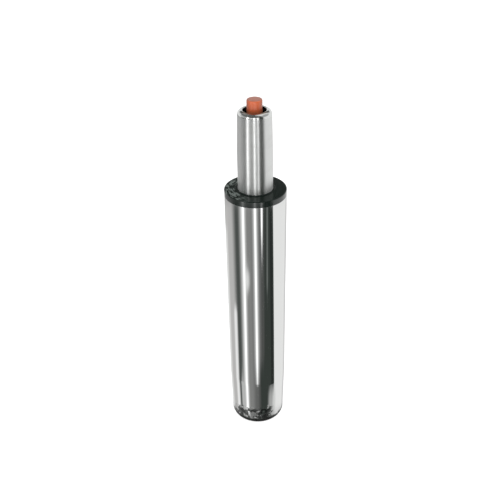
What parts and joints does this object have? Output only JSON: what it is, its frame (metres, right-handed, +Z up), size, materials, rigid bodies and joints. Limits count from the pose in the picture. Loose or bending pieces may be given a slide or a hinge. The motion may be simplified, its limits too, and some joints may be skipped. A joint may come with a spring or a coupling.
{
  "type": "chair gas lift cylinder",
  "caption": "Chair gas lift: chromed column with a tapered foot, sliding spindle with a seat taper, black collar and orange release button.",
  "frame": {"origin": "centre of the foot, on the floor that the column stands on", "axes": "+Z up the common axis of column and spindle, towards the button; X and Y are free, as the outside is round"},
  "size_m": [0.05, 0.05, 0.31],
  "materials": {
    "column_chrome": "polished chrome plate",
    "spindle_chrome": "ground bright plate",
    "black_plastic": "moulded, satin",
    "orange_plastic": "moulded, semi-gloss",
    "dark_steel": "phosphated",
    "steel": "zinc plated",
    "ground_steel": "ground and polished",
    "rubber": "matt",
    "ivory_plastic": "natural, satin",
    "brass": "turned"
  },
  "bodies": {
    "column": {"outer_column": "column_chrome", "bottom_plate": "dark_steel", "guide_bush": "black_plastic", "rubber_cushion": "rubber", "lower_race": "steel"},
    "bearing": {"ball_cage": "ivory_plastic", "bearing_balls": "ground_steel"},
    "rod": {"piston_rod": "ground_steel", "upper_race": "steel", "bump_stop": "rubber", "clip_washer": "steel", "retaining_clip": "steel", "piston_lower_washer": "steel", "piston": "ivory_plastic", "piston_ring": "black_plastic", "piston_upper_washer": "steel"},
    "lift": {"spindle_tube": "spindle_chrome", "inner_tube": "steel", "end_washer": "steel", "rod_seal": "rubber", "seal_washer": "steel", "rod_guide": "brass", "guide_o_ring": "rubber", "valve_body": "brass", "valve_holder": "dark_steel", "holder_o_ring": "rubber", "pin_seal_upper": "rubber", "pin_seal_lower": "rubber"},
    "release": {"release_pin": "ground_steel", "button_cap": "orange_plastic"}
  },
  "joints": [
    {"name": "swivel", "type": "hinge", "parent": "column", "child": "rod", "pos_m": [0, 0, 0], "axis": [0, 0, 1], "continuous": true},
    {"name": "bearing_roll", "type": "hinge", "parent": "column", "child": "bearing", "pos_m": [0, 0, 0], "axis": [0, 0, 1], "continuous": true},
    {"name": "height", "type": "slide", "parent": "rod", "child": "lift", "axis": [0, 0, 1], "range_m": [0, 0.1]},
    {"name": "button_press", "type": "slide", "parent": "lift", "child": "release", "axis": [0, 0, -1], "range_m": [0, 0.004], "stiffness_N_per_m": 2500, "springref_m": -0.001}
  ],
  "couplings": [
    {"joint": "bearing_roll", "follows": "swivel", "ratio": 0.5}
  ]
}
